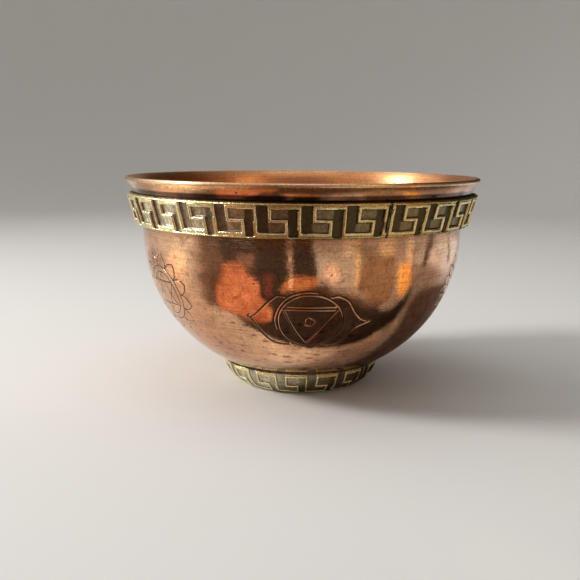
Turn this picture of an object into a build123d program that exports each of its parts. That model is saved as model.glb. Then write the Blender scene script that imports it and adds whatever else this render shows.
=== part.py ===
from build123d import *
from math import atan2, cos, degrees, radians, sin
import os

# A small footed offering bowl in millimetres: a spun copper bowl, an embossed brass strip
# soldered round its neck, and an embossed brass foot ring soldered under it.
# Z is the axis of the bowl, z = 0 is the plane that the foot stands on, and -Y is the front.

# Bowl, spun from one disc of copper sheet
lip_radius = 38.0
bowl_height = 45.0
sheet_thickness = 0.9
lip_lean = 50.0
flare_radius = 3.5
neck_length = 0.7
shoulder_radius = 8.0
wall_split_lean = 45.0
floor_radius = 2.7
floor_lift = 1.8

# Brass strip round the neck, with the bowl's wall flared behind it
band_width = 6.65
band_lean = 16.0
band_tail = 0.1
band_thickness = 0.9
band_relief = 0.45
band_solder = 0.3
band_seam_gap = 0.5
band_seam_sink = 0.1
band_seam_angle = 25.2

# Greek key raised on the neck strip
band_key_count = 29
band_key_bar = 0.75
band_key_border = 0.45
band_key_left_post = 2.65
band_key_right_post = 5.55

# Brass foot ring, dished in towards its base
foot_base_radius = 13.6
foot_base_lean = 66.0
foot_arc_radius = 6.5
foot_top_lean = 6.0
foot_thickness = 1.0
foot_base_land = 0.8
foot_relief = 0.4
foot_solder = 0.3
foot_bead = 1.2
foot_seam_gap = 0.5
foot_seam_sink = 0.1
foot_seam_angle = 51.2

# Greek key raised on the foot ring
foot_key_count = 16
foot_key_bar = 0.7
foot_key_border = 0.4
foot_key_left_post = 2.15
foot_key_right_post = 4.5

# Room left round a solder film, and how far a cutting shape stands clear of what it cuts
solder_clearance = 0.05
cut_clearance = 1.0


def along(lean):
    """Unit step up the wall, at a lean from the vertical."""
    return Vector(sin(radians(lean)), cos(radians(lean)))


def outward(lean):
    """Unit step square to the wall, away from the bowl."""
    return Vector(cos(radians(lean)), -sin(radians(lean)))


def turned(outline):
    """Solid of revolution of a flat outline of radius and height."""
    return revolve(Plane.XZ * outline, Axis.Z)


def turned_part(outline, start, sweep):
    """The same, from one angle round from the front and over a given angle."""
    face = Plane.XZ * outline
    return revolve(Rot(0, 0, start - 90) * face, Axis.Z, sweep)


# Outline of the wall

lip_middle = Vector(lip_radius, bowl_height) - Vector(sheet_thickness, sheet_thickness) / 2
cone_length = neck_length + band_width + band_tail


def wall_line(inset):
    """Edges of the wall from the lip to the end of the shoulder, at a depth below its outer face."""
    start = lip_middle + outward(lip_lean) * (sheet_thickness / 2 - inset)
    flare = JernArc(start, -along(lip_lean), flare_radius + inset, lip_lean - band_lean)
    cone = Line(flare @ 1, (flare @ 1) - along(band_lean) * cone_length)
    shoulder = JernArc(cone @ 1, -along(band_lean), shoulder_radius + inset, band_lean)
    return [flare, cone, shoulder]


def round_radii(top):
    """Radii of the side and floor arcs that bring the wall from upright to level."""
    reach = top.X - floor_radius
    drop = top.Y - floor_lift
    low = sin(radians(wall_split_lean))
    side = cos(radians(wall_split_lean))
    span = low * side - (1 - low) * (1 - side)
    side_radius = (drop * side - reach * (1 - low)) / span
    floor_arc_radius = (reach * low - drop * (1 - side)) / span
    return side_radius, floor_arc_radius


outer_top = wall_line(0)
side_radius, floor_arc_radius = round_radii(outer_top[-1] @ 1)
floor_centre = Vector(floor_radius, floor_lift + floor_arc_radius)


def full_wall_line(inset):
    """The wall's edges, carried on round the belly to the bottom at the axis."""
    edges = wall_line(inset)
    side = JernArc(edges[-1] @ 1, Vector(0, -1), side_radius - inset, -wall_split_lean)
    belly = JernArc(side @ 1, -along(wall_split_lean), floor_arc_radius - inset, wall_split_lean - 90)
    bottom = Line(belly @ 1, Vector(0, (belly @ 1).Y))
    return edges + [side, belly, bottom]


# Copper bowl

outside = full_wall_line(0)
inside = full_wall_line(sheet_thickness)
lip_round = ThreePointArc(inside[0] @ 0, lip_middle + along(lip_lean) * (sheet_thickness / 2), outside[0] @ 0)
axis_edge = Line(outside[-1] @ 1, inside[-1] @ 1)
bowl_shell = turned(make_face(outside + inside + [lip_round, axis_edge]))

# Neck strip and its solder

band_top = (outside[1] @ 0) - along(band_lean) * neck_length
band_bottom = band_top - along(band_lean) * band_width


def band_section(low, high, depth, height):
    """Piece of the strip's section between two widths up from its lower edge and two heights off the wall."""
    foot = band_bottom + along(band_lean) * low
    head = band_bottom + along(band_lean) * high
    lift = outward(band_lean)
    corners = [foot + lift * depth, foot + lift * height, head + lift * height, head + lift * depth]
    return make_face(Polyline(*corners, close=True))


band_face = band_solder + band_thickness
band_middle_radius = ((band_bottom + band_top) / 2 + outward(band_lean) * band_face).X


def band_recess(low, high):
    """Section of a recess in the neck strip's face."""
    return band_section(low, high, band_face - band_relief, band_face + cut_clearance)


# Foot ring's outline

foot_base = Vector(foot_base_radius, 0)
foot_centre = foot_base - outward(foot_base_lean) * foot_arc_radius


def foot_line(inset, low_lean, top_length):
    """Curve of the foot's strip from a lean near its base, then straight on up."""
    start = foot_centre + outward(low_lean) * (foot_arc_radius - inset)
    bend = JernArc(start, along(low_lean), foot_arc_radius - inset, low_lean - foot_top_lean)
    rise = Line(bend @ 1, (bend @ 1) + along(foot_top_lean) * top_length)
    return [bend, rise]


def bowl_disc(gap):
    """Disc that fills the belly's arc, with a gap round it."""
    return Pos(floor_centre) * Circle(floor_arc_radius + gap)


def foot_blank(room):
    """Section of the foot's strip before the bowl's belly cuts its top, with room inside it."""
    outer = foot_line(0, foot_base_lean, bowl_height)
    inner = foot_line(foot_thickness + room, foot_base_lean, bowl_height)
    land = Vector(foot_base_radius - foot_base_land, 0)
    ends = [Line(outer[0] @ 0, land), Line(land, inner[0] @ 0), Line(outer[1] @ 1, inner[1] @ 1)]
    whole = make_face(outer + inner + ends)
    below = Pos(floor_centre.X, floor_centre.Y - bowl_height) * Rectangle(2 * lip_radius, 2 * bowl_height)
    return whole & below


foot_strip = foot_blank(0) - bowl_disc(foot_solder)
foot_rim = Vector(foot_strip.vertices().sort_by(Axis.Y)[-1]) - foot_centre
foot_rim_lean = max(foot_top_lean, degrees(atan2(-foot_rim.Y, foot_rim.X)))
foot_width = radians(foot_base_lean - foot_rim_lean) * foot_arc_radius


def foot_recess(low, high):
    """Section of a recess in the foot's face, between two widths up from its base."""
    low_lean = foot_base_lean - degrees(low / foot_arc_radius)
    high_lean = foot_base_lean - degrees(high / foot_arc_radius)
    deep = foot_arc_radius - foot_relief
    clear = foot_arc_radius + cut_clearance
    floor = JernArc(foot_centre + outward(low_lean) * deep, along(low_lean), deep, low_lean - high_lean)
    mouth = JernArc(foot_centre + outward(low_lean) * clear, along(low_lean), clear, low_lean - high_lean)
    sides = [Line(floor @ 0, mouth @ 0), Line(floor @ 1, mouth @ 1)]
    return make_face([floor, mouth] + sides)


# Greek key, sunk between one running raised line and two borders


def key_recesses(recess, radius, width, count, bar, border, left_post, right_post, start, sweep):
    """The recesses of a whole strip: two hooked ones in each repeat."""
    pitch = (sweep - degrees(bar / radius)) / count
    middle = width / 2
    lower = border + bar
    upper = width - lower
    half = bar / 2
    last = radians(pitch) * radius - half
    left_hook = [
        (half, left_post - half, lower, width - border),
        (left_post - half, right_post - half, lower, middle - half),
    ]
    right_hook = [
        (left_post + half, right_post + half, middle + half, upper),
        (right_post + half, last, border, upper),
    ]
    cuts = []
    for hook in (left_hook, right_hook):
        blocks = []
        for left, right, low, high in hook:
            first = start + degrees((half + left) / radius)
            blocks.append(turned_part(recess(low, high), first, degrees((right - left) / radius)))
        shape = blocks[0] + blocks[1]
        cuts += [Rot(0, 0, number * pitch) * shape for number in range(count)]
    return cuts


band_gap_angle = degrees(band_seam_gap / band_middle_radius)
band_start = band_seam_angle + band_gap_angle / 2
band_sweep = 360 - band_gap_angle
band_cuts = key_recesses(
    band_recess, band_middle_radius, band_width, band_key_count, band_key_bar, band_key_border,
    band_key_left_post, band_key_right_post, band_start, band_sweep,
)
band_strip = band_section(0, band_width, band_solder, band_face)
rim_band = turned_part(band_strip, band_start, band_sweep) - band_cuts
rim_band_solder = turned(band_section(0, band_width, solder_clearance, band_solder - solder_clearance))
band_seam = band_section(0, band_width, band_solder, band_face - band_seam_sink)
rim_seam_solder = turned_part(band_seam, band_seam_angle - band_gap_angle / 2, band_gap_angle)

# Foot ring and its solder

foot_radius = (foot_centre + outward((foot_base_lean + foot_top_lean) / 2) * foot_arc_radius).X
foot_gap_angle = degrees(foot_seam_gap / foot_radius)
foot_start = foot_seam_angle + foot_gap_angle / 2
foot_sweep = 360 - foot_gap_angle
foot_cuts = key_recesses(
    foot_recess, foot_radius, foot_width, foot_key_count, foot_key_bar, foot_key_border,
    foot_key_left_post, foot_key_right_post, foot_start, foot_sweep,
)
foot_ring = turned_part(foot_strip, foot_start, foot_sweep) - foot_cuts

soldered_blank = foot_blank(solder_clearance)
foot_film = (soldered_blank & bowl_disc(foot_solder - solder_clearance)) - bowl_disc(solder_clearance)
bead_place = foot_film.vertices().sort_by(Axis.X)[0]
bead_disc = Pos(bead_place.X, bead_place.Y) * Circle(foot_bead)
bead = bead_disc - bowl_disc(solder_clearance) - soldered_blank
bead_inside = bead.faces().sort_by(Axis.X)[0]
foot_ring_solder = turned(foot_film + bead_inside)

foot_seam = foot_strip - Pos(foot_centre) * (Circle(2 * foot_arc_radius) - Circle(foot_arc_radius - foot_seam_sink))
foot_seam_solder = turned_part(foot_seam, foot_seam_angle - foot_gap_angle / 2, foot_gap_angle)

nodes = {
    "bowl_shell": bowl_shell,
    "rim_band": rim_band,
    "rim_band_solder": rim_band_solder,
    "rim_seam_solder": rim_seam_solder,
    "foot_ring": foot_ring,
    "foot_ring_solder": foot_ring_solder,
    "foot_seam_solder": foot_seam_solder,
}

os.makedirs("parts", exist_ok=True)
for name, shape in nodes.items():
    export_step(shape, f"parts/{name}.step")
    print(name, len(shape.solids()), "solids", round(shape.volume, 2), "mm3", shape.bounding_box().size)
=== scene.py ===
import math
import random
import bpy
import numpy as np
from mathutils import Matrix, Vector, noise
from mathutils.geometry import delaunay_2d_cdt


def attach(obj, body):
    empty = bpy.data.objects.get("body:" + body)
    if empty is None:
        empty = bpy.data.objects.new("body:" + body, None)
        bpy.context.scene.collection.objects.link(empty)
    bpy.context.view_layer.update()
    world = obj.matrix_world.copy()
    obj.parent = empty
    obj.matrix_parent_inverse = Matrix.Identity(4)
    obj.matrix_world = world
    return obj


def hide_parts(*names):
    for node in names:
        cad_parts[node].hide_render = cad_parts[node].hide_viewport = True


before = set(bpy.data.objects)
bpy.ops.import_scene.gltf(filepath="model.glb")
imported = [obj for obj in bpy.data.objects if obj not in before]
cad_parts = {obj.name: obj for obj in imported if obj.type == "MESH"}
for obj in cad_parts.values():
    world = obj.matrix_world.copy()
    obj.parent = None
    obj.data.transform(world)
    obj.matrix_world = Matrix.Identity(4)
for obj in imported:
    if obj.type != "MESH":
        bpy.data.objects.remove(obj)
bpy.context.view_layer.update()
mm = 0.001  # the shapes are worked out in millimetres
print("frame loaded:", len(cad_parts), "nodes")

# Wall of the bowl

bowl = {
    "lipRadius": 38.0,
    "height": 45.0,
    "sheet": 0.9,
    "lipLean": 50.0,  # degrees out from upright
    "flareRadius": 3.5,
    "neck": 0.7,
    "shoulderRadius": 8.0,
    "splitLean": 45.0,  # where the side's arc meets the belly's
    "floorRadius": 2.7,
    "floorLift": 1.8,
    "columns": 320,
    "rowSteps": (0.25, 0.9, 0.5, 0.75, 0.75),  # flare, cone, shoulder, side, belly
    "lipRows": 9,
    "shadedFlat": (-0.5, 2.3),  # run over which the wall under the band is shaded as upright
}
band = {
    "width": 6.65,
    "lean": 16.0,
    "tail": 0.1,
    "solder": 0.3,
    "thickness": 0.9,
    "relief": 0.55,
    "seamGap": 0.5,
    "seamAngle": 25.2,
    "repeats": 29,
    "bar": 0.75,
    "border": 0.45,
    "leftPost": 2.65,
    "rightPost": 5.55,
    "slope": 0.15,  # half width of a ridge's side
    "thin": 0.06,  # how far a ridge's sides stand in from the solid's
    "edgeRound": 0.3,
    "groove": 0.13,  # depth of the fine line inside each border
    "wander": 0.1,  # how far the pressed lines stray
    "seed": 4.0,
}


def along(lean):  # unit step up a wall that leans out
    return np.array((math.sin(math.radians(lean)), math.cos(math.radians(lean))))


def outward(lean):  # unit step off that wall
    return np.array((math.cos(math.radians(lean)), -math.sin(math.radians(lean))))


# A stretch of wall is (start, lean, radius, length), run downwards.
# A radius over zero bulges out, one under zero hollows in, None is straight.
def stretchPoint(stretch, run):
    start, lean, radius = stretch[:3]
    if radius is None:
        return start - along(lean) * run, lean
    newLean = lean + math.degrees(run / radius)
    return start + radius * (outward(newLean) - outward(lean)), newLean


def linkStretches(start, shapes):
    chain = []
    for lean, radius, length in shapes:
        chain.append((start, lean, radius, length))
        start = stretchPoint(chain[-1], length)[0]
    return chain, start


lipMiddle = np.array((bowl["lipRadius"], bowl["height"])) - bowl["sheet"] / 2
coneLength = bowl["neck"] + band["width"] + band["tail"]


def upperShapes(inset):
    flare = bowl["flareRadius"] + inset
    shoulder = bowl["shoulderRadius"] + inset
    return [
        (bowl["lipLean"], -flare, math.radians(bowl["lipLean"] - band["lean"]) * flare),
        (band["lean"], None, coneLength),
        (band["lean"], -shoulder, math.radians(band["lean"]) * shoulder),
    ]


def wallTop(inset):
    return lipMiddle + outward(bowl["lipLean"]) * (bowl["sheet"] / 2 - inset)


shoulderEnd = linkStretches(wallTop(0), upperShapes(0))[1]
reach, drop = shoulderEnd - (bowl["floorRadius"], bowl["floorLift"])
lowShare = math.sin(math.radians(bowl["splitLean"]))
sideShare = math.cos(math.radians(bowl["splitLean"]))
spread = lowShare * sideShare - (1 - lowShare) * (1 - sideShare)
sideRadius = (drop * sideShare - reach * (1 - lowShare)) / spread
bellyRadius = (reach * lowShare - drop * (1 - sideShare)) / spread
bellyCentre = np.array((bowl["floorRadius"], bowl["floorLift"] + bellyRadius))


def wallChain(inset):
    split = bowl["splitLean"]
    side, belly = sideRadius - inset, bellyRadius - inset
    shapes = upperShapes(inset) + [
        (0.0, side, math.radians(split) * side),
        (split, belly, math.radians(90 - split) * belly),
    ]
    return linkStretches(wallTop(inset), shapes)[0]


outerChain = wallChain(0)
innerChain = wallChain(bowl["sheet"])
# Run is measured down the outer face from the band's lower edge
runZero = outerChain[0][3] + bowl["neck"] + band["width"]
bandTop = outerChain[1][0] - along(band["lean"]) * bowl["neck"]
bandBottom = bandTop - along(band["lean"]) * band["width"]


def wallPoint(run):
    rest = run + runZero
    for stretch in outerChain:
        if rest <= stretch[3]:
            break
        rest -= stretch[3]
    return stretchPoint(stretch, min(rest, stretch[3]))


def wallRows(chain):
    rows = []
    total = -runZero
    for number, (stretch, step) in enumerate(zip(chain, bowl["rowSteps"])):
        divisions = math.ceil(stretch[3] / step)
        for k in range(0 if number == 0 else 1, divisions + 1):
            part = stretch[3] * k / divisions
            place, lean = stretchPoint(stretch, part)
            rows.append((place, lean, total + part))
        total += stretch[3]
    return rows


# Engraved figures, drawn flat in millimetres, x to the right and y up

engraving = {
    "depthShare": 0.27,  # of a line's width
    "step": 0.22,
    "jitter": 0.12,
    "seed": 7,
    "ringStep": 110,  # degrees times radius between the drawn points of a ring
    "ringLeast": 6,
    "petalMid": 0.4,  # half widths of a petal at its belly and near its tip, in steps
    "petalHigh": 0.17,
    "petalRise": 0.82,
    "triangleTop": 0.62,
    "triangleTip": 1.1,
    "across": (-1.0, -0.5, 0.0, 0.5, 1.0),  # mesh points over a line, in half widths
    "clear": 1.8,  # half widths kept free of other mesh points
    "weld": 1e-4,
}
hand = random.Random(engraving["seed"])


def shaky(points, amount=1.0):
    size = engraving["jitter"] * amount
    return [(x + hand.uniform(-size, size), y + hand.uniform(-size, size)) for x, y in points]


def smoothLine(points, closed=False):
    pts = [np.array(p, float) for p in points]
    count = len(pts)
    line = []
    for i in range(count if closed else count - 1):
        if closed:
            p0, p1, p2, p3 = (pts[(i + k) % count] for k in (-1, 0, 1, 2))
        else:
            p1, p2 = pts[i], pts[i + 1]
            p0 = pts[i - 1] if i else 2 * p1 - p2
            p3 = pts[i + 2] if i + 2 < count else 2 * p2 - p1
        pieces = max(2, math.ceil(np.linalg.norm(p2 - p1) / engraving["step"]))
        for k in range(pieces):
            t = k / pieces
            bend = 2 * p1 + (p2 - p0) * t + (2 * p0 - 5 * p1 + 4 * p2 - p3) * t ** 2
            line.append((bend + (3 * p1 - p0 - 3 * p2 + p3) * t ** 3) / 2)
    line.append(pts[0] if closed else pts[-1])
    return np.array(line)


def straightLines(points):
    lines = []
    for a, b in zip(points, points[1:] + points[:1]):
        lines.append(smoothLine(shaky([a, ((a[0] + b[0]) / 2, (a[1] + b[1]) / 2), b], 0.5)))
    return lines


def ringLine(radius, centre=(0, 0), start=0, sweep=360):
    count = max(engraving["ringLeast"], round(sweep * radius / engraving["ringStep"]))
    steps = count if sweep == 360 else count + 1
    points = []
    for k in range(steps):
        a = math.radians(start + sweep * k / count)
        points.append((centre[0] + radius * math.cos(a), centre[1] + radius * math.sin(a)))
    return smoothLine(shaky(points, 0.7), closed=sweep == 360)


def polar(radius, angle):
    return radius * math.cos(angle), radius * math.sin(angle)


def petalLines(count, inner, outer, turn=90.0, belly=0.5):
    lines = []
    step, rise = 2 * math.pi / count, outer - inner
    for k in range(count):
        middle = math.radians(turn) + k * step
        tip = shaky([polar(outer, middle)])[0]
        for side in (-1, 1):
            low = polar(inner, middle + side * step / 2)
            mid = polar(inner + rise * belly, middle + side * step * engraving["petalMid"])
            high = polar(inner + rise * engraving["petalRise"], middle + side * step * engraving["petalHigh"])
            lines.append(smoothLine(shaky([low], 0.4) + shaky([mid, high], 0.7) + [tip]))
    return lines


def triangleDown(size, lift=0.0):
    top, tip = lift + size * engraving["triangleTop"], lift - size * engraving["triangleTip"]
    return straightLines([(-size, top), (size, top), (0, tip)])


def browFigure():
    lines = [ringLine(6.2, (0.05, 0)), ringLine(6.55, (-0.2, 0.2), 80, 115)]
    lines.append(smoothLine(shaky([(-4.9, 3.1), (0, 3.0), (4.9, 2.95)], 0.4)))
    lines.append(smoothLine(shaky([(-3.9, 3.75), (0, 3.65), (4.3, 3.6)], 0.4)))
    lines.append(smoothLine([(-4.9, 3.1), (-3.9, 0.3), (-2.6, -2.6), (-0.75, -5.65)]))
    lines.append(smoothLine([(4.9, 2.95), (2.9, 0.1), (1.2, -2.7), (-0.75, -5.65)]))
    lines.append(smoothLine([
        (-4.1, 5.75), (-5.4, 5.85), (-6.1, 5.7), (-7.8, 4.2), (-9.7, 2.1), (-10.9, 1.15), (-11.54, 1.0),
        (-11.7, 1.35), (-11.35, 1.6),
    ]))
    lines.append(smoothLine([(-11.2, 0.95), (-9.1, -3.1), (-7.5, -5.0), (-6.0, -5.55), (-4.4, -5.7)]))
    lines.append(smoothLine([
        (3.65, 5.6), (4.8, 5.8), (6.75, 4.75), (8.3, 2.25), (9.8, 0.6), (11.54, -0.1),
    ]))
    lines.append(smoothLine([(11.54, -0.1), (8.5, -1.9), (6.7, -5.05), (5.2, -5.8), (2.8, -6.15)]))
    lines.append(ringLine(0.95, (-0.2, 0.3)))
    return lines


def throatFigure():
    lines = petalLines(16, 5.9, 9.3) + [ringLine(5.9), ringLine(5.2)]
    return lines + triangleDown(4.1, 0.45) + [ringLine(1.8, (0, 0.4))]


def crownFigure():
    lines = petalLines(20, 6.3, 9.3) + petalLines(14, 3.9, 6.2, 83)
    return lines + [ringLine(6.25), ringLine(3.8), ringLine(1.2)]


def heartFigure():
    lines = petalLines(12, 6.0, 8.8, 80) + [ringLine(6.0), ringLine(4.75)]
    lines += triangleDown(3.9, 0.4)
    return lines + straightLines([(-3.8, -2.3), (3.8, -2.3), (0, 4.2)])


def rootFigure():
    lines = petalLines(4, 5.9, 9.4, 90, 0.35) + [ringLine(5.9), ringLine(5.3)]
    lines += straightLines([(-3.5, -3.5), (3.5, -3.5), (3.5, 3.5), (-3.5, 3.5)])
    return lines + triangleDown(2.2, 0.2)


# Places are degrees round from the front and millimetres down from the band
figures = [
    {"lines": browFigure(), "angle": 3.3, "run": 16.95, "half": (13.2, 8.0), "line": 0.58},
    {"lines": crownFigure(), "angle": 77.0, "run": 13.2, "half": (10.6, 10.6), "line": 0.45},
    {"lines": throatFigure(), "angle": 151.5, "run": 13.2, "half": (10.6, 10.6), "line": 0.45},
    {"lines": rootFigure(), "angle": 225.7, "run": 13.2, "half": (10.6, 10.6), "line": 0.45},
    {"lines": heartFigure(), "angle": 302.5, "run": 13.8, "half": (9.8, 9.8), "line": 0.55},
]


def nearestLine(points, starts, ends):
    away = np.zeros((len(points), 2))
    spans = ends - starts
    lengths = np.maximum((spans ** 2).sum(1), 1e-12)
    batch = 400  # keeps the arrays small
    for first in range(0, len(points), batch):
        chunk = points[first:first + batch]
        dx, dy = chunk[:, :1] - starts[None, :, 0], chunk[:, 1:] - starts[None, :, 1]
        t = np.clip((dx * spans[:, 0] + dy * spans[:, 1]) / lengths, 0, 1)
        dx -= t * spans[:, 0]
        dy -= t * spans[:, 1]
        best = (dx * dx + dy * dy).argmin(1)
        row = np.arange(len(chunk))
        away[first:first + batch] = np.stack((dx[row, best], dy[row, best]), axis=1)
    return away  # from the nearest line's middle to the point


def carveShape(points, starts, ends, half):
    away = nearestLine(points, starts, ends)
    gap = np.linalg.norm(away, axis=1)
    near = np.clip(gap / half, 0, 1)
    depth = np.cos(near * math.pi / 2) ** 2
    steep = -np.sin(near * math.pi) * math.pi / 2 / half
    return depth, away / np.maximum(gap, 1e-9)[:, None] * steep[:, None]


def figurePoints(lines, half):
    points = []
    for line in lines:
        direction = np.gradient(line, axis=0)
        direction /= np.maximum(np.linalg.norm(direction, axis=1), 1e-9)[:, None]
        side = np.stack((-direction[:, 1], direction[:, 0]), axis=1)
        for share in engraving["across"]:
            points.append(line + side * half * share)
    return np.concatenate(points)


# Copper bowl


def columnAngle(k):
    return 2 * math.pi * k / bowl["columns"]


# Rows of the mesh from the bottom round the lip to the floor: place, way out, run, and 0 outside to 1 inside
def bowlProfile():
    outerRows, innerRows = wallRows(outerChain), wallRows(innerChain)
    bottom, floor = outerRows[-1], innerRows[-1]
    profile = [(np.array((0.0, bottom[0][1])), -along(0), bottom[2] + bowl["floorRadius"], 0.0)]
    for place, lean, run in reversed(outerRows):
        facing = 0.0 if bowl["shadedFlat"][0] < run < bowl["shadedFlat"][1] else lean
        profile.append((place, outward(facing), run, 0.0))
    lipOut, lipUp = outward(bowl["lipLean"]), along(bowl["lipLean"])
    for k in range(1, bowl["lipRows"]):
        turn = math.pi * k / bowl["lipRows"]
        way = lipOut * math.cos(turn) + lipUp * math.sin(turn)
        profile.append((lipMiddle + way * bowl["sheet"] / 2, way, -runZero, 0.5))
    for place, lean, run in innerRows:
        profile.append((place, -outward(lean), run, 1.0))
    profile.append((np.array((0.0, floor[0][1])), along(0), floor[2] + bowl["floorRadius"], 1.0))
    return profile, len(outerRows)


class BowlMesh:
    def __init__(self):
        self.profile, self.outerCount = bowlProfile()
        self.verts, self.normals, self.faces = [], [], []
        self.marks = {"run": [], "inside": [], "carve": []}
        self.index = {}
        self.skipped = set()  # wall faces that a carved patch stands for

    def addVert(self, place, way, angle, run, side, depth=0.0, sideways=0.0):
        sine, cosine = math.sin(angle), math.cos(angle)
        self.verts.append((place[0] * sine * mm, -place[0] * cosine * mm, place[1] * mm))
        facing = Vector((way[0] * sine + sideways * cosine, sideways * sine - way[0] * cosine, way[1]))
        self.normals.append(tuple(facing.normalized()))
        for key, value in (("run", run), ("inside", side), ("carve", depth)):
            self.marks[key].append(value)
        return len(self.verts) - 1

    def addRings(self):
        for row, (place, way, run, side) in enumerate(self.profile):
            onAxis = place[0] < 1e-6
            only = self.addVert(place, way, 0, run, side) if onAxis else None
            for k in range(bowl["columns"]):
                self.index[row, k] = only if onAxis else self.addVert(place, way, columnAngle(k), run, side)

    def patchRows(self, figure):  # the nearest rows under and over a figure
        rows = range(1, self.outerCount + 1)
        halfHeight = figure["half"][1]
        low = max(r for r in rows if self.profile[r][2] >= figure["run"] + halfHeight)
        high = min(r for r in rows if self.profile[r][2] <= figure["run"] - halfHeight)
        return low, high

    def carveFigure(self, figure):
        columns = bowl["columns"]
        centre = math.radians(figure["angle"])
        middleRadius = wallPoint(figure["run"])[0][0]
        spanAngle = figure["half"][0] / middleRadius
        left = math.floor((centre - spanAngle) / (2 * math.pi) * columns)
        right = math.ceil((centre + spanAngle) / (2 * math.pi) * columns)
        low, high = self.patchRows(figure)
        for row in range(low, high):
            self.skipped.update((row, k % columns) for k in range(left, right))

        def flat(row, k):
            return (columnAngle(k) - centre) * middleRadius, figure["run"] - self.profile[row][2]

        edge = [(low, k) for k in range(left, right)] + [(row, right) for row in range(low, high)]
        edge += [(high, k) for k in range(right, left, -1)] + [(row, left) for row in range(high, low, -1)]
        starts = np.concatenate([line[:-1] for line in figure["lines"]])
        ends = np.concatenate([line[1:] for line in figure["lines"]])
        half = figure["line"] / 2
        grid = np.array([flat(row, k) for row in range(low + 1, high) for k in range(left + 1, right)])
        grid = grid[np.linalg.norm(nearestLine(grid, starts, ends), axis=1) > half * engraving["clear"]]
        points = [Vector(flat(row, k)) for row, k in edge]
        points += [Vector(p) for p in np.concatenate((grid, figurePoints(figure["lines"], half)))]
        loop = [(k, (k + 1) % len(edge)) for k in range(len(edge))]
        patch = delaunay_2d_cdt(points, loop, [], 0, engraving["weld"])
        places = np.array([tuple(p) for p in patch[0]])
        triangles, origins = patch[2:4]
        depth, slope = carveShape(places, starts, ends, half)
        deep = figure["line"] * engraving["depthShare"]
        ids = []
        for n, (x, y) in enumerate(places):
            onEdge = [k for k in origins[n] if k < len(edge)]
            if onEdge:
                row, k = edge[onEdge[0]]
                ids.append(self.index[row, k % columns])
                continue
            run = figure["run"] - y
            place, lean = wallPoint(run)
            tilt = outward(lean) + along(lean) * slope[n, 1] * deep
            sunk = place - outward(lean) * deep * depth[n]
            angle = centre + x / middleRadius
            ids.append(self.addVert(sunk, tilt, angle, run, 0, depth[n], slope[n, 0] * deep))
        for face in triangles:
            corner = tuple(ids[n] for n in face)
            if len(set(corner)) == 3:
                self.faces.append(corner)

    def addWall(self):
        columns = bowl["columns"]
        for row in range(len(self.profile) - 1):
            for k in range(columns):
                if (row, k) in self.skipped:
                    continue
                n = (k + 1) % columns
                corners = ((row, k), (row, n), (row + 1, n), (row + 1, k))
                self.faces.append(tuple(dict.fromkeys(self.index[c] for c in corners)))


sharpAngle = math.radians(60)  # edges over this stay crisp


def makePiece(name, node, verts, faces, attributes, normals=None):
    mesh = bpy.data.meshes.new(name)
    mesh.from_pydata(verts, [], faces)
    for key, values in attributes.items():
        mesh.attributes.new(key, "FLOAT", "POINT").data.foreach_set("value", np.array(values, np.float32))
    mesh.shade_smooth()
    if normals is None:
        mesh.set_sharp_from_angle(angle=sharpAngle)
    else:
        mesh.normals_split_custom_set_from_vertices(normals)
    piece = bpy.data.objects.new(name, mesh)
    bpy.context.scene.collection.objects.link(piece)
    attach(piece, "root")
    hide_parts(node)
    print(name, len(mesh.vertices), "points", len(mesh.polygons), "faces")
    return piece


bowlMesh = BowlMesh()
bowlMesh.addRings()
for figure in figures:
    bowlMesh.carveFigure(figure)
bowlMesh.addWall()
copperBowl = makePiece("copper_bowl", "bowl_shell",
                       bowlMesh.verts, bowlMesh.faces, bowlMesh.marks, bowlMesh.normals)

# Brass strips with the raised key

foot = {
    "baseRadius": 13.6,
    "baseLean": 66.0,
    "arcRadius": 6.5,
    "topLean": 6.0,
    "thickness": 1.0,
    "baseLand": 0.8,
    "solder": 0.3,
    "relief": 0.4,
    "seamGap": 0.5,
    "seamAngle": 51.2,
    "repeats": 16,
    "bar": 0.7,
    "border": 0.4,
    "leftPost": 2.15,
    "rightPost": 4.5,
    "slope": 0.16,
    "thin": 0.14,
    "edgeRound": 0.16,
    "groove": 0.1,
    "wander": 0.07,
    "seed": 31.0,
    "rimStep": 0.01,  # degrees, in the search for the foot's rim
    "backRows": 8,
}
pressing = {  # what both strips share
    "sideSteps": (-1, -0.4, 0.4, 1),  # mesh lines over a ridge's side, in slopes
    "hemSteps": (0.03, 0.08),  # mesh lines in from a strip's two edges
    "leastStep": 0.035,
    "noiseSeed": 5,  # the lines stray the same way in every run
    "strayScale": 0.55,
    "floorWave": 0.05,
    "ridgeWear": 0.03,
    "rimPlace": 0.8,  # where a ridge's top is painted bright, as wear and painted highlight, in slopes
    "rimSpread": 0.5,
    "grooveHalf": 0.9,  # half width of a fine line, in slopes
}


def keyRecesses(strip, width, pitch):
    half = strip["bar"] / 2
    lower = strip["border"] + strip["bar"]
    upper, middle = width - lower, width / 2
    left, right = strip["leftPost"], strip["rightPost"]
    overlap = strip["bar"]  # the two boxes of a hook run into each other
    return [
        (half, left - half, lower, width - strip["border"]),
        (left - half - overlap, right - half, lower, middle - half),
        (left + half, right + half + overlap, middle + half, upper),
        (right + half, pitch - half, strip["border"], upper),
    ]


def boxDistance(u, v, box):
    du = np.maximum(box[0] - u, u - box[1])
    dv = np.maximum(box[2] - v, v - box[3])
    outside = np.hypot(np.maximum(du, 0), np.maximum(dv, 0))
    return outside + np.minimum(np.maximum(du, dv), 0)


def spacedLines(marks, centres, offsets, low, high):
    lines = {round(low, 4), round(high, 4)}
    for mark in marks:
        lines.update(round(mark + offset, 4) for offset in offsets)
    lines.update(round(c, 4) for c in centres)
    kept = []
    for value in sorted(x for x in lines if low <= x <= high):
        if not kept or value - kept[-1] > pressing["leastStep"]:
            kept.append(value)
    kept[-1] = round(high, 4)
    return kept


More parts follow.
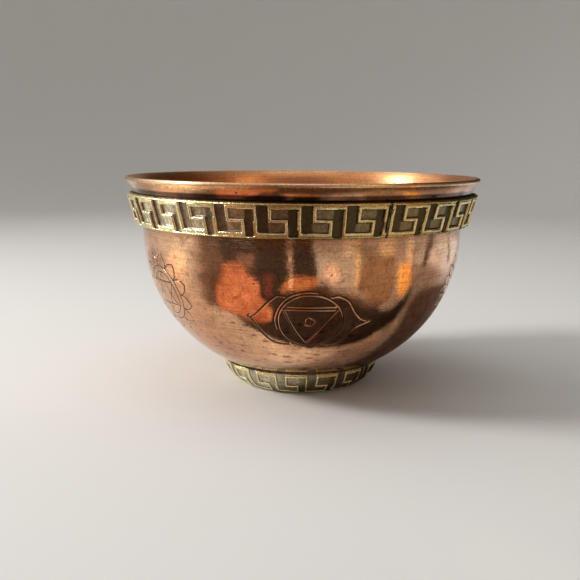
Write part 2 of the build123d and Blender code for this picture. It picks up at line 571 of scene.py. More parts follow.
def stripGrid(strip, width, pitch, boxes):  # mesh lines along and across a strip
    half = strip["bar"] / 2
    left, right = strip["leftPost"], strip["rightPost"]
    offsets = [strip["thin"] + strip["slope"] * share for share in pressing["sideSteps"]]
    offsets += [-o for o in offsets]
    marksU = {edge for box in boxes for edge in box[:2]} - {boxes[1][0], boxes[2][1]}
    marksV = {edge for box in boxes for edge in box[2:]}
    centresU = [0, left, right, left / 2, (left + right) / 2, (right + pitch) / 2]
    repeatU = spacedLines(sorted(marksU), centresU, offsets, -half, pitch - half)
    linesU = [u + k * pitch for k in range(strip["repeats"]) for u in repeatU[:-1]]
    linesU += [strip["repeats"] * pitch + offset for offset in (-half, 0, half)]
    hems = (*pressing["hemSteps"], strip["edgeRound"])
    centresV = [*hems, *(width - hem for hem in hems), width / 2]
    centresV += [(box[2] + box[3]) / 2 for box in boxes[1:3]]
    return np.array(linesU), np.array(spacedLines(sorted(marksV), centresV, offsets, 0, width))


def strayNoise(u, v, strip):
    stray = np.zeros(u.shape + (3,))
    scale = pressing["strayScale"]
    noise.seed_set(pressing["noiseSeed"])
    for i, j in np.ndindex(u.shape):
        stray[i, j] = noise.noise_vector(Vector((u[i, j] * scale, v[i, j] * scale, strip["seed"])))
    return stray


def stripRelief(strip, width, radius):
    gapAngle = strip["seamGap"] / radius
    sweep = 2 * math.pi - gapAngle
    pitch = (sweep * radius - strip["bar"]) / strip["repeats"]
    boxes = keyRecesses(strip, width, pitch)
    half, slope = strip["bar"] / 2, strip["slope"]
    linesU, linesV = stripGrid(strip, width, pitch, boxes)
    u, v = np.meshgrid(linesU, linesV, indexing="ij")
    angles = math.radians(strip["seamAngle"]) + gapAngle / 2 + (linesU + half) / radius

    stray = strayNoise(u, v, strip)
    strayU, strayV = u + stray[..., 0] * strip["wander"], v + stray[..., 1] * strip["wander"]
    local = np.mod(strayU + half, pitch) - half
    local = np.where(u > strip["repeats"] * pitch - half, u - strip["repeats"] * pitch, local)
    gaps = [boxDistance(local, strayV, box) for box in boxes]
    gap = np.minimum.reduce(gaps) - strip["thin"]
    rise = np.clip((gap + slope) / (2 * slope), 0, 1)
    rise = rise * rise * (3 - 2 * rise)
    edge = np.exp(-(gap / slope - pressing["rimPlace"]) ** 2 / pressing["rimSpread"])
    upright = np.minimum(gaps[0], gaps[3])
    slot = np.clip(0.5 - upright / slope, 0, 1)  # the upright part of each hook, darkened in the material as painted shadow

    floorWave = pressing["floorWave"] * stray[..., 2] * (1 - rise)
    ridgeWear = pressing["ridgeWear"] * np.clip(stray[..., 0], 0, 1) * rise
    height = strip["relief"] * (rise - 1) + (floorWave - ridgeWear)
    for line in (strip["border"], width - strip["border"]):  # fine line inside each border
        inGroove = np.clip(1 - np.abs(strayV - line) / (slope * pressing["grooveHalf"]), 0, 1)
        height -= strip["groove"] * inGroove * rise
    near = np.minimum(v, width - v)
    hem = strip["edgeRound"]
    bevel = np.clip(hem - near, 0, hem)
    height -= hem - np.sqrt(hem ** 2 - bevel ** 2)
    border = np.clip((strip["border"] - near) / slope + 0.5, 0, 1)
    marks = {"rise": rise, "edge": edge, "border": border, "slot": slot}
    return v, angles, np.minimum(height, 0), marks


def sweepStrip(angles, radii, heights):
    count, ring = radii.shape
    x, y = radii * np.sin(angles)[:, None], -radii * np.cos(angles)[:, None]
    verts = (np.stack((x, y, heights), axis=-1).reshape(-1, 3) * mm).tolist()
    faces = []
    for i in range(count - 1):
        for j in range(ring):
            n = (j + 1) % ring
            faces.append((i * ring + j, (i + 1) * ring + j, (i + 1) * ring + n, i * ring + n))
    faces.append(tuple(range(ring)))
    faces.append(tuple((count - 1) * ring + j for j in reversed(range(ring))))
    return verts, faces


def closeStrip(angles, radii, heights, marks, back):  # the plain back face closes each section
    def withBack(front, values):
        return np.concatenate((front, np.tile(values, (len(angles), 1))), axis=1)

    radii = withBack(radii, [place[0] for place in back])
    heights = withBack(heights, [place[1] for place in back])
    marks = {key: withBack(values, [0] * len(back)).ravel() for key, values in marks.items()}
    return sweepStrip(angles, radii, heights) + (marks,)


def buildBand():
    face = band["solder"] + band["thickness"]
    lift = outward(band["lean"])
    radius = ((bandBottom + bandTop) / 2 + lift * face)[0]
    v, angles, height, marks = stripRelief(band, band["width"], radius)
    up = along(band["lean"])
    radii = bandBottom[0] + up[0] * v + lift[0] * (face + height)
    heights = bandBottom[1] + up[1] * v + lift[1] * (face + height)
    back = [bandTop + lift * band["solder"], bandBottom + lift * band["solder"]]
    return closeStrip(angles, radii, heights, marks, back)


footCentre = np.array((foot["baseRadius"], 0)) - outward(foot["baseLean"]) * foot["arcRadius"]


def footRim(radius):  # lean at which the foot's curve meets the solder under the belly
    lean = foot["baseLean"]
    while np.linalg.norm(footCentre + outward(lean) * radius - bellyCentre) > bellyRadius + foot["solder"]:
        lean -= foot["rimStep"]
    return lean


def buildFoot():
    rimLean = footRim(foot["arcRadius"])
    width = math.radians(foot["baseLean"] - rimLean) * foot["arcRadius"]
    middleLean = (foot["baseLean"] + foot["topLean"]) / 2
    radius = (footCentre + outward(middleLean) * foot["arcRadius"])[0]
    v, angles, height, marks = stripRelief(foot, width, radius)
    lean = math.radians(foot["baseLean"]) - v / foot["arcRadius"]
    arm = foot["arcRadius"] + height
    radii = footCentre[0] + arm * np.cos(lean)
    heights = np.maximum(footCentre[1] - arm * np.sin(lean), 0)
    insideArm = foot["arcRadius"] - foot["thickness"]
    insideRim = footRim(insideArm)
    back = []
    for k in range(foot["backRows"] + 1):
        backLean = insideRim + (foot["baseLean"] - insideRim) * k / foot["backRows"]
        back.append(footCentre + outward(backLean) * insideArm)
    back.append(np.array((foot["baseRadius"] - foot["baseLand"], 0)))
    return closeStrip(angles, radii, heights, marks, back)


bandVerts, bandFaces, bandMarks = buildBand()
keyBand = makePiece("key_band", "rim_band", bandVerts, bandFaces, bandMarks)
footVerts, footFaces, footMarks = buildFoot()
keyFoot = makePiece("key_foot", "foot_ring", footVerts, footFaces, footMarks)

# Materials


class Nodes:
    def __init__(self, name):
        self.material = bpy.data.materials.new(name)
        self.material.use_nodes = True
        self.tree = self.material.node_tree
        self.tree.nodes.clear()
        self.shader = self.add("ShaderNodeBsdfPrincipled")
        self.add("ShaderNodeOutputMaterial", {0: self.shader.outputs[0]})
        metres = self.add("ShaderNodeTexCoord").outputs["Object"]
        scaled = {0: metres, 1: (1 / mm, 1 / mm, 1 / mm)}
        self.place = self.add("ShaderNodeVectorMath", scaled, operation="MULTIPLY").outputs[0]

    def add(self, kind, inputs=None, **settings):
        node = self.tree.nodes.new(kind)
        for key, value in settings.items():
            setattr(node, key, value)
        for key, value in (inputs or {}).items():
            self.feed(node.inputs[key], value)
        return node

    def feed(self, socket, value):
        if isinstance(value, bpy.types.NodeSocket):
            self.tree.links.new(value, socket)
        elif isinstance(value, tuple) and len(value) == 3 and len(socket.default_value) == 4:
            socket.default_value = (*value, 1)
        else:
            socket.default_value = value

    def mark(self, name):
        return self.add("ShaderNodeAttribute", attribute_name=name).outputs["Fac"]

    def math(self, operation, a, b=0.0, clamp=False):
        return self.add("ShaderNodeMath", {0: a, 1: b}, operation=operation, use_clamp=clamp).outputs[0]

    def times(self, a, b):
        return self.math("MULTIPLY", a, b)

    def plus(self, a, b):
        return self.math("ADD", a, b)

    def minus(self, a, b):
        return self.math("SUBTRACT", a, b)

    def most(self, a, b):
        return self.math("MAXIMUM", a, b)

    def join(self, x, y, z):
        return self.add("ShaderNodeCombineXYZ", {0: x, 1: y, 2: z}).outputs[0]

    def split(self, vector):
        return self.add("ShaderNodeSeparateXYZ", {0: vector}).outputs

    def noise(self, scale, detail, rough, place=None):
        inputs = {"Scale": scale, "Detail": detail, "Roughness": rough}
        inputs["Vector"] = self.place if place is None else place
        return self.add("ShaderNodeTexNoise", inputs).outputs["Fac"]

    def cells(self, vector, scale):
        node = self.add("ShaderNodeTexVoronoi", {"Vector": vector, "Scale": scale})
        return node.outputs["Distance"], node.outputs["Color"]

    def ramp(self, value, low, high, toLow=0.0, toHigh=1.0):
        inputs = {"Value": value, "From Min": low, "From Max": high, "To Min": toLow, "To Max": toHigh}
        return self.add("ShaderNodeMapRange", inputs, interpolation_type="SMOOTHSTEP").outputs["Result"]

    def blend(self, share, a, b):
        return self.add("ShaderNodeMix", {0: share, 6: a, 7: b}, data_type="RGBA").outputs[2]

    def bump(self, height, distance, below=None):
        inputs = {"Height": height, "Distance": distance}
        if below is not None:
            inputs["Normal"] = below
        return self.add("ShaderNodeBump", inputs).outputs[0]

    def set(self, **sockets):
        for key, value in sockets.items():
            self.feed(self.shader.inputs[key.replace("_", " ")], value)


copperFinish = {
    "bright": (0.9, 0.55, 0.325),
    "deep": (0.77, 0.4, 0.22),
    "tarnishAndShade": (0.3, 0.15, 0.085),
    "pit": (0.05, 0.026, 0.016),
    "dash": (0.24, 0.13, 0.075),
    "lineDirt": (0.07, 0.03, 0.018),
    # a painted highlight along the rim of each engraved line
    "lineHighlight": (0.95, 0.74, 0.56),
    "insideGlow": (0.85, 0.4, 0.17),
    # the rim bead, painted lighter as a highlight
    "lip": (1.0, 0.7, 0.44),
    "brushShare": 0.4,  # shares of tarnish and spots, and of painted shade over and under the band and on the flare
    "grainShare": 0.42,
    "patchShare": 0.5,
    "blotchShare": 0.5,
    "underShare": 0.5,
    "flareShare": 0.25,
    "neckShadeShare": 0.92,
    "spotShare": 0.85,
    "pits": {"cells": 1.05, "size": 0.14, "edge": (0.02, 0.1)},
    "dashes": {"cells": 1.15, "size": 0.42, "edge": (-0.02, 0.05)},
    "dashRagged": 0.9,
    "dashRun": (15.0, 22.0),  # dashes thicken down this run
    "neckShadeRun": ((-7.95, -7.5), (-6.6, -5.8)),  # painted shade in the hollow over the band
    "underRun": ((-1.0, -0.5), (0.2, 1.6)),  # the ring under the band, darkened partly as tarnish and partly as painted shade
    # painted shade on the flared lip's outside, which faces down
    "flareRun": (-8.0, -7.4),
    "roughness": (0.04, 0.1),
    "patchRough": 0.08,
    "markRough": 0.2,
    "lipRough": 0.14,
    "insideRough": 0.33,
    "waveDepth": 0.00012,  # metres, as the four below
    "rippleDepth": 0.000035,
    "peelDepth": 0.000006,
    "brushDepth": 0.000008,
    "pitDepth": 0.00003,
    "anisotropy": 0.8,
    "brushTurn": 0.25,
}


def turnedPlace(n, run, roundScale, runScale):  # drawn out round the bowl
    x, y = n.split(n.place)[:2]
    return n.join(n.times(x, roundScale), n.times(y, roundScale), n.times(run, runScale))


def runBetween(n, run, rise, fall):
    return n.times(n.ramp(run, *rise), n.ramp(run, *fall, 1.0, 0.0))


def copperSpots(n, place, look, threshold, ragged=0.0):
    gap, pick = n.cells(place, look["cells"])
    chance, size = n.split(pick)[:2]
    chosen = n.math("GREATER_THAN", chance, threshold)
    inset = n.plus(n.minus(gap, n.times(size, look["size"])), ragged)
    return n.times(n.ramp(inset, *look["edge"], 1.0, 0.0), chosen)


def copperMaterial():
    n, look = Nodes("spun_copper"), copperFinish
    run, carve, inside = n.mark("run"), n.mark("carve"), n.mark("inside")
    outside = n.math("SUBTRACT", 1, inside, clamp=True)
    turnMarks = turnedPlace(n, run, 0.06, 2.6)
    brush = n.noise(1.0, 6, 0.65, turnMarks)
    fineBrush = n.noise(4.0, 3, 0.6, turnMarks)
    cloud = n.noise(0.075, 4, 0.6)
    grain = n.noise(2.4, 2, 0.6)
    patch = n.ramp(n.noise(0.16, 5, 0.62), 0.52, 0.7)
    blotch = n.times(n.ramp(n.noise(0.6, 4, 0.62), 0.5, 0.7), outside)
    # fine dark pits in clusters all over, and brown dashes low on the belly
    cluster = n.ramp(n.noise(0.085, 2, 0.5), 0.4, 0.64, 0.99, 0.72)
    pit = n.times(copperSpots(n, n.place, look["pits"], cluster), outside)
    sparse = n.ramp(n.noise(0.11, 2, 0.5), 0.38, 0.55, 0.35, 0.0)
    sparse = n.plus(n.ramp(run, *look["dashRun"], 1.0, 0.32), sparse)
    ragged = n.times(n.minus(grain, 0.5), look["dashRagged"])
    dash = copperSpots(n, turnedPlace(n, run, 0.42, 0.85), look["dashes"], sparse, ragged)
    dash = n.times(dash, outside)
    # painted shade in the hollow over the band, a darker ring under it that is partly tarnish and partly
    # painted shade, and painted shade on the flared lip
    neckShade = n.times(runBetween(n, run, *look["neckShadeRun"]), outside)
    under = n.times(runBetween(n, run, *look["underRun"]), outside)
    flare = n.times(n.ramp(run, *look["flareRun"], 1.0, 0.0), outside)
    # the rim bead, which gets the lighter lip colour as a painted highlight
    lip = n.ramp(n.math("ABSOLUTE", n.minus(inside, 0.5)), 0.2, 0.45, 1.0, 0.0)

    # random patches and blotches of tarnish, with painted shade under the band and on the flare
    dim = n.times(n.times(outside, look["patchShare"]), patch)
    for mask, share in ((blotch, "blotchShare"), (under, "underShare"), (flare, "flareShare")):
        dim = n.most(dim, n.times(mask, look[share]))
    coats = (
        (inside, "insideGlow"),
        (lip, "lip"),
        (n.times(n.ramp(brush, 0.38, 0.72), look["brushShare"]), "tarnishAndShade"),
        (n.times(n.ramp(grain, 0.4, 0.68), look["grainShare"]), "tarnishAndShade"),
        (dim, "tarnishAndShade"),
        # painted shade in the hollow over the band, in the pit colour
        (n.times(neckShade, look["neckShadeShare"]), "pit"),
        (n.times(dash, look["spotShare"]), "dash"),
        (n.times(pit, look["spotShare"]), "pit"),
        # engraved lines have a painted highlight along their rims and dirt in the bottom
        (n.times(n.ramp(carve, 0.02, 0.12), n.ramp(carve, 0.25, 0.5, 0.55, 0.0)), "lineHighlight"),
        (n.ramp(carve, 0.4, 0.85, 0.0, 0.85), "lineDirt"),
    )
    colour = n.blend(n.ramp(cloud, 0.35, 0.68), look["bright"], look["deep"])
    for mask, coat in coats:
        colour = n.blend(mask, colour, look[coat])

    rough = n.ramp(brush, 0.3, 0.75, *look["roughness"])
    rougher = ((patch, "patchRough"), (n.most(pit, carve), "markRough"),
               (n.most(lip, flare), "lipRough"), (inside, "insideRough"))
    for mask, amount in rougher:
        rough = n.plus(rough, n.times(mask, look[amount]))
    wave = n.bump(n.noise(0.055, 2, 0.4), look["waveDepth"])
    ripple = n.bump(n.noise(0.3, 3, 0.5), look["rippleDepth"], wave)
    peel = n.bump(n.noise(1.5, 2, 0.55), look["peelDepth"], ripple)
    lines = n.bump(n.plus(brush, n.times(fineBrush, 0.35)), look["brushDepth"], peel)
    dents = n.bump(n.times(pit, -1), look["pitDepth"], lines)
    spun = n.add("ShaderNodeTangent", direction_type="RADIAL", axis="Z").outputs[0]
    n.set(Base_Color=colour, Roughness=rough, Metallic=1.0, Normal=dents, Tangent=spun)
    n.set(Anisotropic=look["anisotropy"], Anisotropic_Rotation=look["brushTurn"])
    return n.material


brassFinish = {
    "ridge": (0.95, 0.85, 0.45),
    "wearAndHighlight": (1.0, 0.95, 0.66),
    "recess": (0.2, 0.155, 0.075),
    "litRecess": (0.52, 0.455, 0.29),
    "glint": (0.9, 0.87, 0.72),
    "grimeAndShade": (0.04, 0.03, 0.014),
    "olive": (0.49, 0.39, 0.15),
    "drift": 14.0,  # millimetres that the edge of the patina and painted side shade strays
    "glintLoss": 0.85,  # of painted glint in the shaded recesses
    "dullLeast": 0.15,
    "borderShade": 0.85,
    "middleShade": 0.6,
    "bumpDepth": 0.00009,  # metres
}
bandPatinaAndShade = {  # millimetres across the bowl: lit and clean on the left, shaded dark on the right, painted light and shade with some patina
    "cleanLitTo": -28.0,
    "darkShadedFrom": -4.0,
    "wearScale": 1.0,
    "sideShadeShare": 0.45,
    "slotShare": 0.75,
}
footPatinaAndShade = {
    "cleanLitTo": -11.0,
    "darkShadedFrom": 5.0,
    "wearScale": 1.3,
    "sideShadeShare": 0.5,
    "slotShare": 0.3,
}


def brassMaterial(name, cleanLitTo, darkShadedFrom, wearScale, sideShadeShare, slotShare):
    n, look = Nodes(name), brassFinish
    rise, edge, border = n.mark("rise"), n.mark("edge"), n.mark("border")
    mottle = n.noise(1.6 * wearScale, 5, 0.65)
    cloud = n.noise(0.2 * wearScale, 3, 0.55)
    grain = n.noise(6.0, 3, 0.6)
    # painted light and shade across the bowl, with some patina: lit on the left, shaded on the right
    drift = n.times(n.minus(cloud, 0.5), look["drift"])
    patinaAndSideShade = n.ramp(n.plus(n.split(n.place)[0], drift), cleanLitTo, darkShadedFrom)
    # recesses: lit on the left and shaded on the right, with painted glints, dirt and painted shade in their
    # corners, and painted shadow in their slots
    # share of painted glint, kept on the lit side
    clean = n.minus(1, n.times(patinaAndSideShade, look["glintLoss"]))
    floor = n.blend(patinaAndSideShade, look["litRecess"], look["recess"])
    floor = n.blend(n.times(n.ramp(mottle, 0.38, 0.64), clean), floor, look["glint"])
    # dirt and painted shade at the foot of each ridge
    corner = n.times(n.ramp(rise, 0.01, 0.2), n.ramp(rise, 0.35, 0.6, 0.8, 0.0))
    floor = n.blend(corner, floor, look["grimeAndShade"])
    # painted shadow in the upright slots, darker on the shaded side
    slot = n.times(n.mark("slot"), n.ramp(patinaAndSideShade, 0.0, 1.0, slotShare / 2, slotShare))
    floor = n.blend(slot, floor, look["grimeAndShade"])
    # ridges, bright along their edges as wear and painted highlight, and dull between them, partly at random
    # and partly as painted shade on the shaded side
    dull = n.times(n.ramp(mottle, 0.42, 0.6), n.plus(n.times(patinaAndSideShade, sideShadeShare), look["dullLeast"]))
    # painted shade on the borders and ridge middles of the shaded side
    dull = n.most(dull, n.times(n.times(border, patinaAndSideShade), look["borderShade"]))
    dull = n.most(dull, n.times(n.times(n.minus(1, edge), patinaAndSideShade), look["middleShade"]))
    dull = n.times(dull, n.ramp(edge, 0.3, 1.0, 1.0, 0.4))
    wearAndHighlight = n.times(edge, n.ramp(cloud, 0.3, 0.6, 1.0, 0.5))
    top = n.blend(wearAndHighlight, look["ridge"], look["wearAndHighlight"])
    top = n.blend(dull, top, look["olive"])
    share = n.ramp(n.plus(rise, n.times(n.minus(mottle, 0.5), 0.25)), 0.4, 0.8)
    rough = n.minus(n.ramp(mottle, 0.3, 0.7, 0.34, 0.5), n.times(share, 0.14))
    rough = n.minus(rough, n.times(edge, 0.06))
    relief = n.bump(n.plus(mottle, n.times(grain, 0.4)), look["bumpDepth"])
    n.set(Base_Color=n.blend(share, floor, top), Roughness=rough, Metallic=1.0, Normal=relief)
    return n.material


solderFinish = {
    "clean": (0.16, 0.14, 0.115),
    "dull": (0.045, 0.036, 0.026),
    "roughness": (0.38, 0.6),
    "bumpDepth": 0.0001,  # metres
}


def solderMaterial():
    n, look = Nodes("tin_solder"), solderFinish
    mottle = n.noise(1.1, 5, 0.62)
    colour = n.blend(n.ramp(mottle, 0.35, 0.68), look["clean"], look["dull"])
    rough = n.ramp(mottle, 0.3, 0.7, *look["roughness"])
    n.set(Base_Color=colour, Roughness=rough, Metallic=1.0, Normal=n.bump(mottle, look["bumpDepth"]))
    return n.material


copperBowl.data.materials.append(copperMaterial())
keyBand.data.materials.append(brassMaterial("pressed_brass_band", **bandPatinaAndShade))
keyFoot.data.materials.append(brassMaterial("pressed_brass_foot", **footPatinaAndShade))
solder = solderMaterial()
for name in ("rim_band_solder", "rim_seam_solder", "foot_ring_solder", "foot_seam_solder"):
    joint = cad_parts[name]
    if not joint.material_slots:
        joint.data.materials.append(solder)
    for materialSlot in joint.material_slots:
        materialSlot.material = solder
print("materials made")

# Studio: a round pale cove, a soft key from the left, and cards and screens of painted reflection that show
# only in the metal

studio = {
    "floorReach": 0.48,
    "coveRadius": 0.25,
    "coveHeight": 0.55,
    "floorRows": 12,
    "coveRows": 32,
    "coveColumns": 96,
    "floorColour": (0.74, 0.72, 0.69),
    "airColour": (0.8, 0.79, 0.77),
    "airStrength": 0.46,
    "aimHeight": 0.02,
    "lights": {
        "left_key": {"angle": -86.0, "rise": 30.0, "distance": 0.62, "size": 0.14, "power": 0.64,
                     "spread": 85.0},
        "left_panel": {"angle": -105.0, "rise": 42.0, "distance": 0.6, "size": 0.62, "power": 0.55,
                       "spread": 120.0},
        "top_panel": {"angle": 0.0, "rise": 88.0, "distance": 0.55, "size": 0.3, "power": 0.35},
    },
}
# Cards lie on the floor and screens stand round it, in millimetres: painted reflections for the metal to
# show, the glowing ones painted light
cards = {
    "dark_front": {
        "lift": 0.3, "colours": ((0.035, 0.025, 0.02), (0.06, 0.042, 0.034)),
        "corners": ((-37, -31), (-27, -34), (33, -18.8), (48, -19.5), (68, -20.5), (47, -25.5),
                    (38, -27), (34, -32), (31, -46), (22, -55), (15, -60), (12, -73), (15, -91),
                    (22, -139), (34, -244), (60, -440), (-160, -440), (-300, -330),
                    (-400, -200), (-140, -90), (-88, -66), (-60, -46), (-42, -34)),
    },
    "brown_edge": {
        "lift": 0.55, "soft": 0.7, "feather": True,
        "colours": ((0.2, 0.135, 0.105), (0.13, 0.085, 0.065)),
        "corners": ((-420, -90), (-170, -30), (-95, -26), (-56, -22), (-40, -24),
                    (-38, -34), (-55, -50), (-85, -80), (-130, -110), (-400, -260)),
    },
    "brown_upper": {
        "lift": 0.5, "soft": 0.4, "colours": ((0.34, 0.22, 0.165), (0.22, 0.145, 0.11)),
        "corners": ((-145, -157), (-105, -202), (-37, -80), (-54, -88), (-79, -107), (-90, -103)),
    },
    "warm_front": {
        "lift": 0.7, "colours": ((1.0, 0.46, 0.25), (0.6, 0.2, 0.1)),
        "corners": ((-95, -85), (-74, -102), (-49, -81), (-36, -72), (-29, -67), (-22, -52),
                    (-19, -51), (-13, -46), (-11, -39), (-14, -36), (-20, -35), (-28, -34),
                    (-34, -31), (-42, -35), (-52, -43), (-61, -56)),
    },
    "red_front": {
        "lift": 0.7, "colours": ((0.24, 0.07, 0.05), (0.12, 0.04, 0.03)),
        "corners": ((-32, -83), (-26, -88), (-15, -54), (-20, -54)),
    },
    "warm_middle": {
        "lift": 0.7, "colours": ((0.9, 0.44, 0.18), (0.55, 0.2, 0.1)),
        "corners": ((-12, -78), (-7, -88), (14, -85), (11, -69), (4, -65), (-13, -62)),
    },
    "pale_line": {
        "lift": 0.9, "glow": 4.0, "colours": ((0.8, 0.64, 0.5), (0.5, 0.38, 0.3)),
        "corners": ((-42, -312), (-40, -313), (-6.2, -66), (-6.8, -66)),
    },
    "gold_right": {
        "lift": 0.9, "glow": 0.3, "colours": ((1.0, 0.95, 0.6), (0.95, 0.76, 0.42)),
        "corners": ((184, -268), (201, -255), (37, -58), (34.5, -60)),
    },
    "cream_upper": {
        "lift": 0.8, "glow": 0.4, "soft": 0.4, "colours": ((1.0, 0.95, 0.8), (0.9, 0.8, 0.6)),
        "corners": ((133, -277), (178, -255), (97, -146), (81, -168)),
    },
    "cream_corner": {
        "lift": 0.8, "glow": 0.4, "soft": 0.4, "colours": ((1.0, 0.9, 0.65), (0.9, 0.7, 0.45)),
        "corners": ((230, -192), (272, -130), (152, -82), (136, -115)),
    },
    "brown_fringe": {
        "lift": 0.65, "soft": 0.9, "feather": True, "colours": ((0.2, 0.13, 0.1), (0.12, 0.08, 0.06)),
        "corners": ((20, -84), (24, -69), (31, -61), (37, -50), (44, -36),
                    (30, -34), (27, -43), (23, -51), (17, -56), (11, -66)),
    },
    "brown_right": {
        "lift": 0.6, "colours": ((0.62, 0.46, 0.32), (0.38, 0.27, 0.18)),
        "corners": ((36, -60), (34, -34), (44, -33), (62, -40), (90, -53), (150, -85), (170, -102),
                    (150, -178)),
    },
    "pink_spot": {
        "lift": 0.5, "glow": 0.45, "soft": 0.4, "colours": ((1.0, 0.85, 0.75), (0.85, 0.65, 0.55)),
        "corners": ((29, -127), (50, -132), (41, -91), (34, -75), (24, -66), (18, -75), (20, -93)),
    },
    "orange_right": {
        "lift": 0.8, "glow": 0.75, "soft": 0.3, "colours": ((1.0, 0.68, 0.22), (0.95, 0.42, 0.1)),
        "corners": ((110, -59), (126, -39), (77, -25), (55, -23), (46, -26), (50, -31.5), (69, -42)),
    },
    "cream_right": {
        "lift": 0.85, "glow": 0.7, "soft": 0.5, "colours": ((1.0, 0.93, 0.75), (0.9, 0.75, 0.55)),
        "corners": ((312, -94), (316, -62), (161, -41), (105, -33), (102, -45), (159, -59)),
    },
    "dark_streak": {
        "lift": 0.6, "colours": ((0.08, 0.06, 0.05), (0.14, 0.1, 0.08)),
        "corners": ((107, -18), (108, -10), (190, 10), (328, 67), (336, 26), (214, -6)),
    },
    "dark_shade": {
        "lift": 0.4, "soft": 0.2, "colours": ((0.26, 0.21, 0.175), (0.17, 0.13, 0.105)),
        "corners": ((2.5, -14), (33, -17), (50, -21), (66, -14), (76, 6), (78, 45), (60, 65), (20, 60),
                    (4, 20)),
    },
    "pale_front": {
        "lift": 0.45, "glow": 0.15, "soft": 0.6, "colours": ((1.0, 0.97, 0.9), (0.9, 0.85, 0.78)),
        "corners": ((-16, -16), (2.5, -16), (8.4, -18.5), (15.6, -21.5), (24, -21.7), (0, -28), (-20, -33)),
    },
    "pale_tail": {
        "lift": 0.47, "glow": 0.1, "soft": 1.0, "feather": True,
        "colours": ((0.95, 0.88, 0.78), (0.8, 0.72, 0.62)),
        "corners": ((2, -12), (14, -11.5), (24, -11), (36, -12),
                    (36, -18.6), (24, -22), (14, -21.5), (2, -17)),
    },
    "dark_thread": {
        "lift": 0.95, "colours": ((0.1, 0.06, 0.04), (0.06, 0.04, 0.03)),
        "corners": ((264, 142), (257, 153), (115, 67), (117, 61)),
    },
    "pale_right": {
        "lift": 0.35, "glow": 0.4, "soft": 0.3, "colours": ((0.85, 0.88, 0.95), (0.7, 0.72, 0.78)),
        "corners": ((118, -40), (330, -20), (335, 130), (260, 240), (160, 230), (84, 62), (68, 22),
                    (110, -8)),
    },
    "pale_left": {
        "lift": 0.42, "glow": 0.3, "soft": 0.6, "colours": ((1.0, 0.88, 0.7), (0.95, 0.8, 0.6)),
        "corners": ((-40, -20), (-95, -30), (-200, -40), (-230, 20), (-130, 30), (-60, 10)),
    },
    "brown_left": {
        "lift": 0.4, "soft": 0.6, "colours": ((0.42, 0.38, 0.35), (0.54, 0.48, 0.43)),
        "corners": ((-44, 8), (-75, 8), (-180, 30), (-210, 130), (-120, 140), (-70, 80), (-46, 35)),
    },
}
screens = {
    "dark_right": {
        "span": (84, 168), "rise": (40, 440), "radius": 300,
        "colours": ((0.03, 0.022, 0.018), (0.05, 0.035, 0.03)),
    },
    "dim_front": {
        "span": (-30, 84), "rise": (1, 440), "radius": 450,
        "colours": ((0.54, 0.235, 0.09), (0.32, 0.13, 0.05)),
    },
    "gold_inner": {
        "span": (36, 54), "rise": (200, 440), "radius": 440, "glow": 1.8,
        "colours": ((1.0, 0.82, 0.5), (1.0, 0.66, 0.36)),
    },
    "warm_inner": {
        "span": (-54, -24), "rise": (200, 440), "radius": 440, "glow": 0.5,
        "colours": ((1.0, 0.7, 0.45), (0.9, 0.55, 0.32)),
    },
}


def makeStage(name, verts, faces, colours, glow=0.0, soft=0.0, fades=None):
    mesh = bpy.data.meshes.new(name)
    mesh.from_pydata(verts, [], faces)
    mesh.shade_smooth()
    piece = bpy.data.objects.new(name, mesh)
    bpy.context.scene.collection.objects.link(piece)
    n = Nodes(name + "_paint")
    n.set(Base_Color=colours[0], Roughness=0.9)
    if len(colours) > 1:
        mottle = n.noise(0.2, 5, 0.65)
        paint = n.blend(n.ramp(mottle, 0.4, 0.62), *colours)
        n.set(Base_Color=paint, Emission_Color=paint, Emission_Strength=glow)
    if fades:
        mesh.attributes.new("fade", "FLOAT", "POINT").data.foreach_set("value", fades)
        n.set(Alpha=n.ramp(n.mark("fade"), 0.0, soft))
    mesh.materials.append(n.material)
    return piece


def makeReflected(name, verts, faces, colours, **paint):  # a painted reflection: shows in the metal only
    piece = makeStage(name, [tuple(c * mm for c in vert) for vert in verts], faces, colours, **paint)
    piece.visible_camera = piece.visible_diffuse = piece.visible_shadow = piece.visible_transmission = False


def makeCard(name, lift, colours, corners, glow=0.0, soft=0.0, feather=False):
    verts = [(x, y, lift) for x, y in corners]
    count, half = len(verts), len(verts) // 2
    faces, fades = [tuple(range(count))], None
    if feather:  # from its first edge to its second
        faces = [(k, k + 1, count - 2 - k, count - 1 - k) for k in range(half - 1)]
        fades = [0.0] * half + [1.0] * half
    elif soft:  # from its edge to its middle
        verts.append(tuple(sum(c) / count for c in zip(*verts)))
        faces = [(k, (k + 1) % count, count) for k in range(count)]
        fades = [0.0] * count + [1.0]
    makeReflected(name, verts, faces, colours, glow=glow, soft=soft, fades=fades)


def makeScreen(name, span, rise, radius, colours, glow=0.0):
    columns = 12
    verts = []
    for k in range(columns + 1):
        a = math.radians(span[0] + (span[1] - span[0]) * k / columns)
        verts += [(radius * math.sin(a), -radius * math.cos(a), z) for z in rise]
    faces = [(2 * k, 2 * k + 2, 2 * k + 3, 2 * k + 1) for k in range(columns)]
    makeReflected(name, verts, faces, colours, glow=glow)


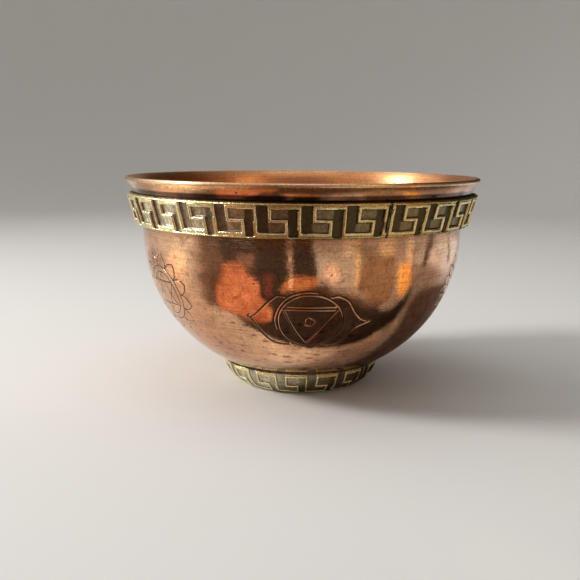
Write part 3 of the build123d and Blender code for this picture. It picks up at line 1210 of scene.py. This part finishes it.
def makeCove():
    reach, bend = studio["floorReach"], studio["coveRadius"]
    floorRows, coveRows, count = studio["floorRows"], studio["coveRows"], studio["coveColumns"]
    section = [(reach * k / floorRows, 0.0) for k in range(1, floorRows + 1)]
    for k in range(1, coveRows + 1):
        t = math.pi / 2 * k / coveRows
        section.append((reach + bend * math.sin(t), bend * (1 - math.cos(t))))
    section.append((reach + bend, studio["coveHeight"]))
    verts, faces = [(0.0, 0.0, 0.0)], []
    for radius, height in section:
        for k in range(count):
            a = 2 * math.pi * k / count
            verts.append((radius * math.cos(a), radius * math.sin(a), height))
    for k in range(count):
        faces.append((0, 1 + k, 1 + (k + 1) % count))
    for row in range(len(section) - 1):
        low, high = 1 + row * count, 1 + (row + 1) * count
        for k in range(count):
            n = (k + 1) % count
            faces.append((low + k, high + k, high + n, low + n))
    makeStage("cove", verts, faces, [studio["floorColour"]])


def aimedLight(name, angle, rise, distance, size, power, spread=180.0):
    data = bpy.data.lights.new(name, "AREA")
    data.size = size
    data.energy = power
    data.spread = math.radians(spread)
    light = bpy.data.objects.new(name, data)
    a, e = math.radians(angle), math.radians(rise)
    way = Vector((math.sin(a) * math.cos(e), -math.cos(a) * math.cos(e), math.sin(e)))
    light.location = way * distance + Vector((0, 0, studio["aimHeight"]))
    light.rotation_euler = way.to_track_quat("Z", "Y").to_euler()
    bpy.context.scene.collection.objects.link(light)


def makeAir():
    world = bpy.data.worlds.new("studio_air")
    bpy.context.scene.world = world
    world.use_nodes = True
    back = world.node_tree.nodes["Background"]
    back.inputs["Color"].default_value = (*studio["airColour"], 1)
    back.inputs["Strength"].default_value = studio["airStrength"]


makeCove()
makeAir()
for name, light in studio["lights"].items():
    aimedLight(name, **light)
for name, card in cards.items():
    makeCard(name, **card)
for name, screen in screens.items():
    makeScreen(name, **screen)

view = {
    "place": (0.0, -0.1718, 0.0512),
    "pitch": 10.43,  # degrees down
    "yaw": 0.81,
    "roll": 0.4,
    "lens": 48.3,
    "sensor": 36.0,
    "clipStart": 0.005,
}


def makeCamera():
    data = bpy.data.cameras.new("camera")
    data.lens = view["lens"]
    data.sensor_width = view["sensor"]
    data.clip_start = view["clipStart"]
    camera = bpy.data.objects.new("camera", data)
    turn = Matrix.Rotation(math.radians(view["yaw"]), 4, "Z")
    turn = turn @ Matrix.Rotation(math.radians(90 - view["pitch"]), 4, "X")
    turn = turn @ Matrix.Rotation(math.radians(view["roll"]), 4, "Z")
    camera.matrix_world = Matrix.Translation(view["place"]) @ turn
    bpy.context.scene.collection.objects.link(camera)
    bpy.context.scene.camera = camera


makeCamera()
bpy.context.scene.view_settings.view_transform = "Standard"
print("studio ready")
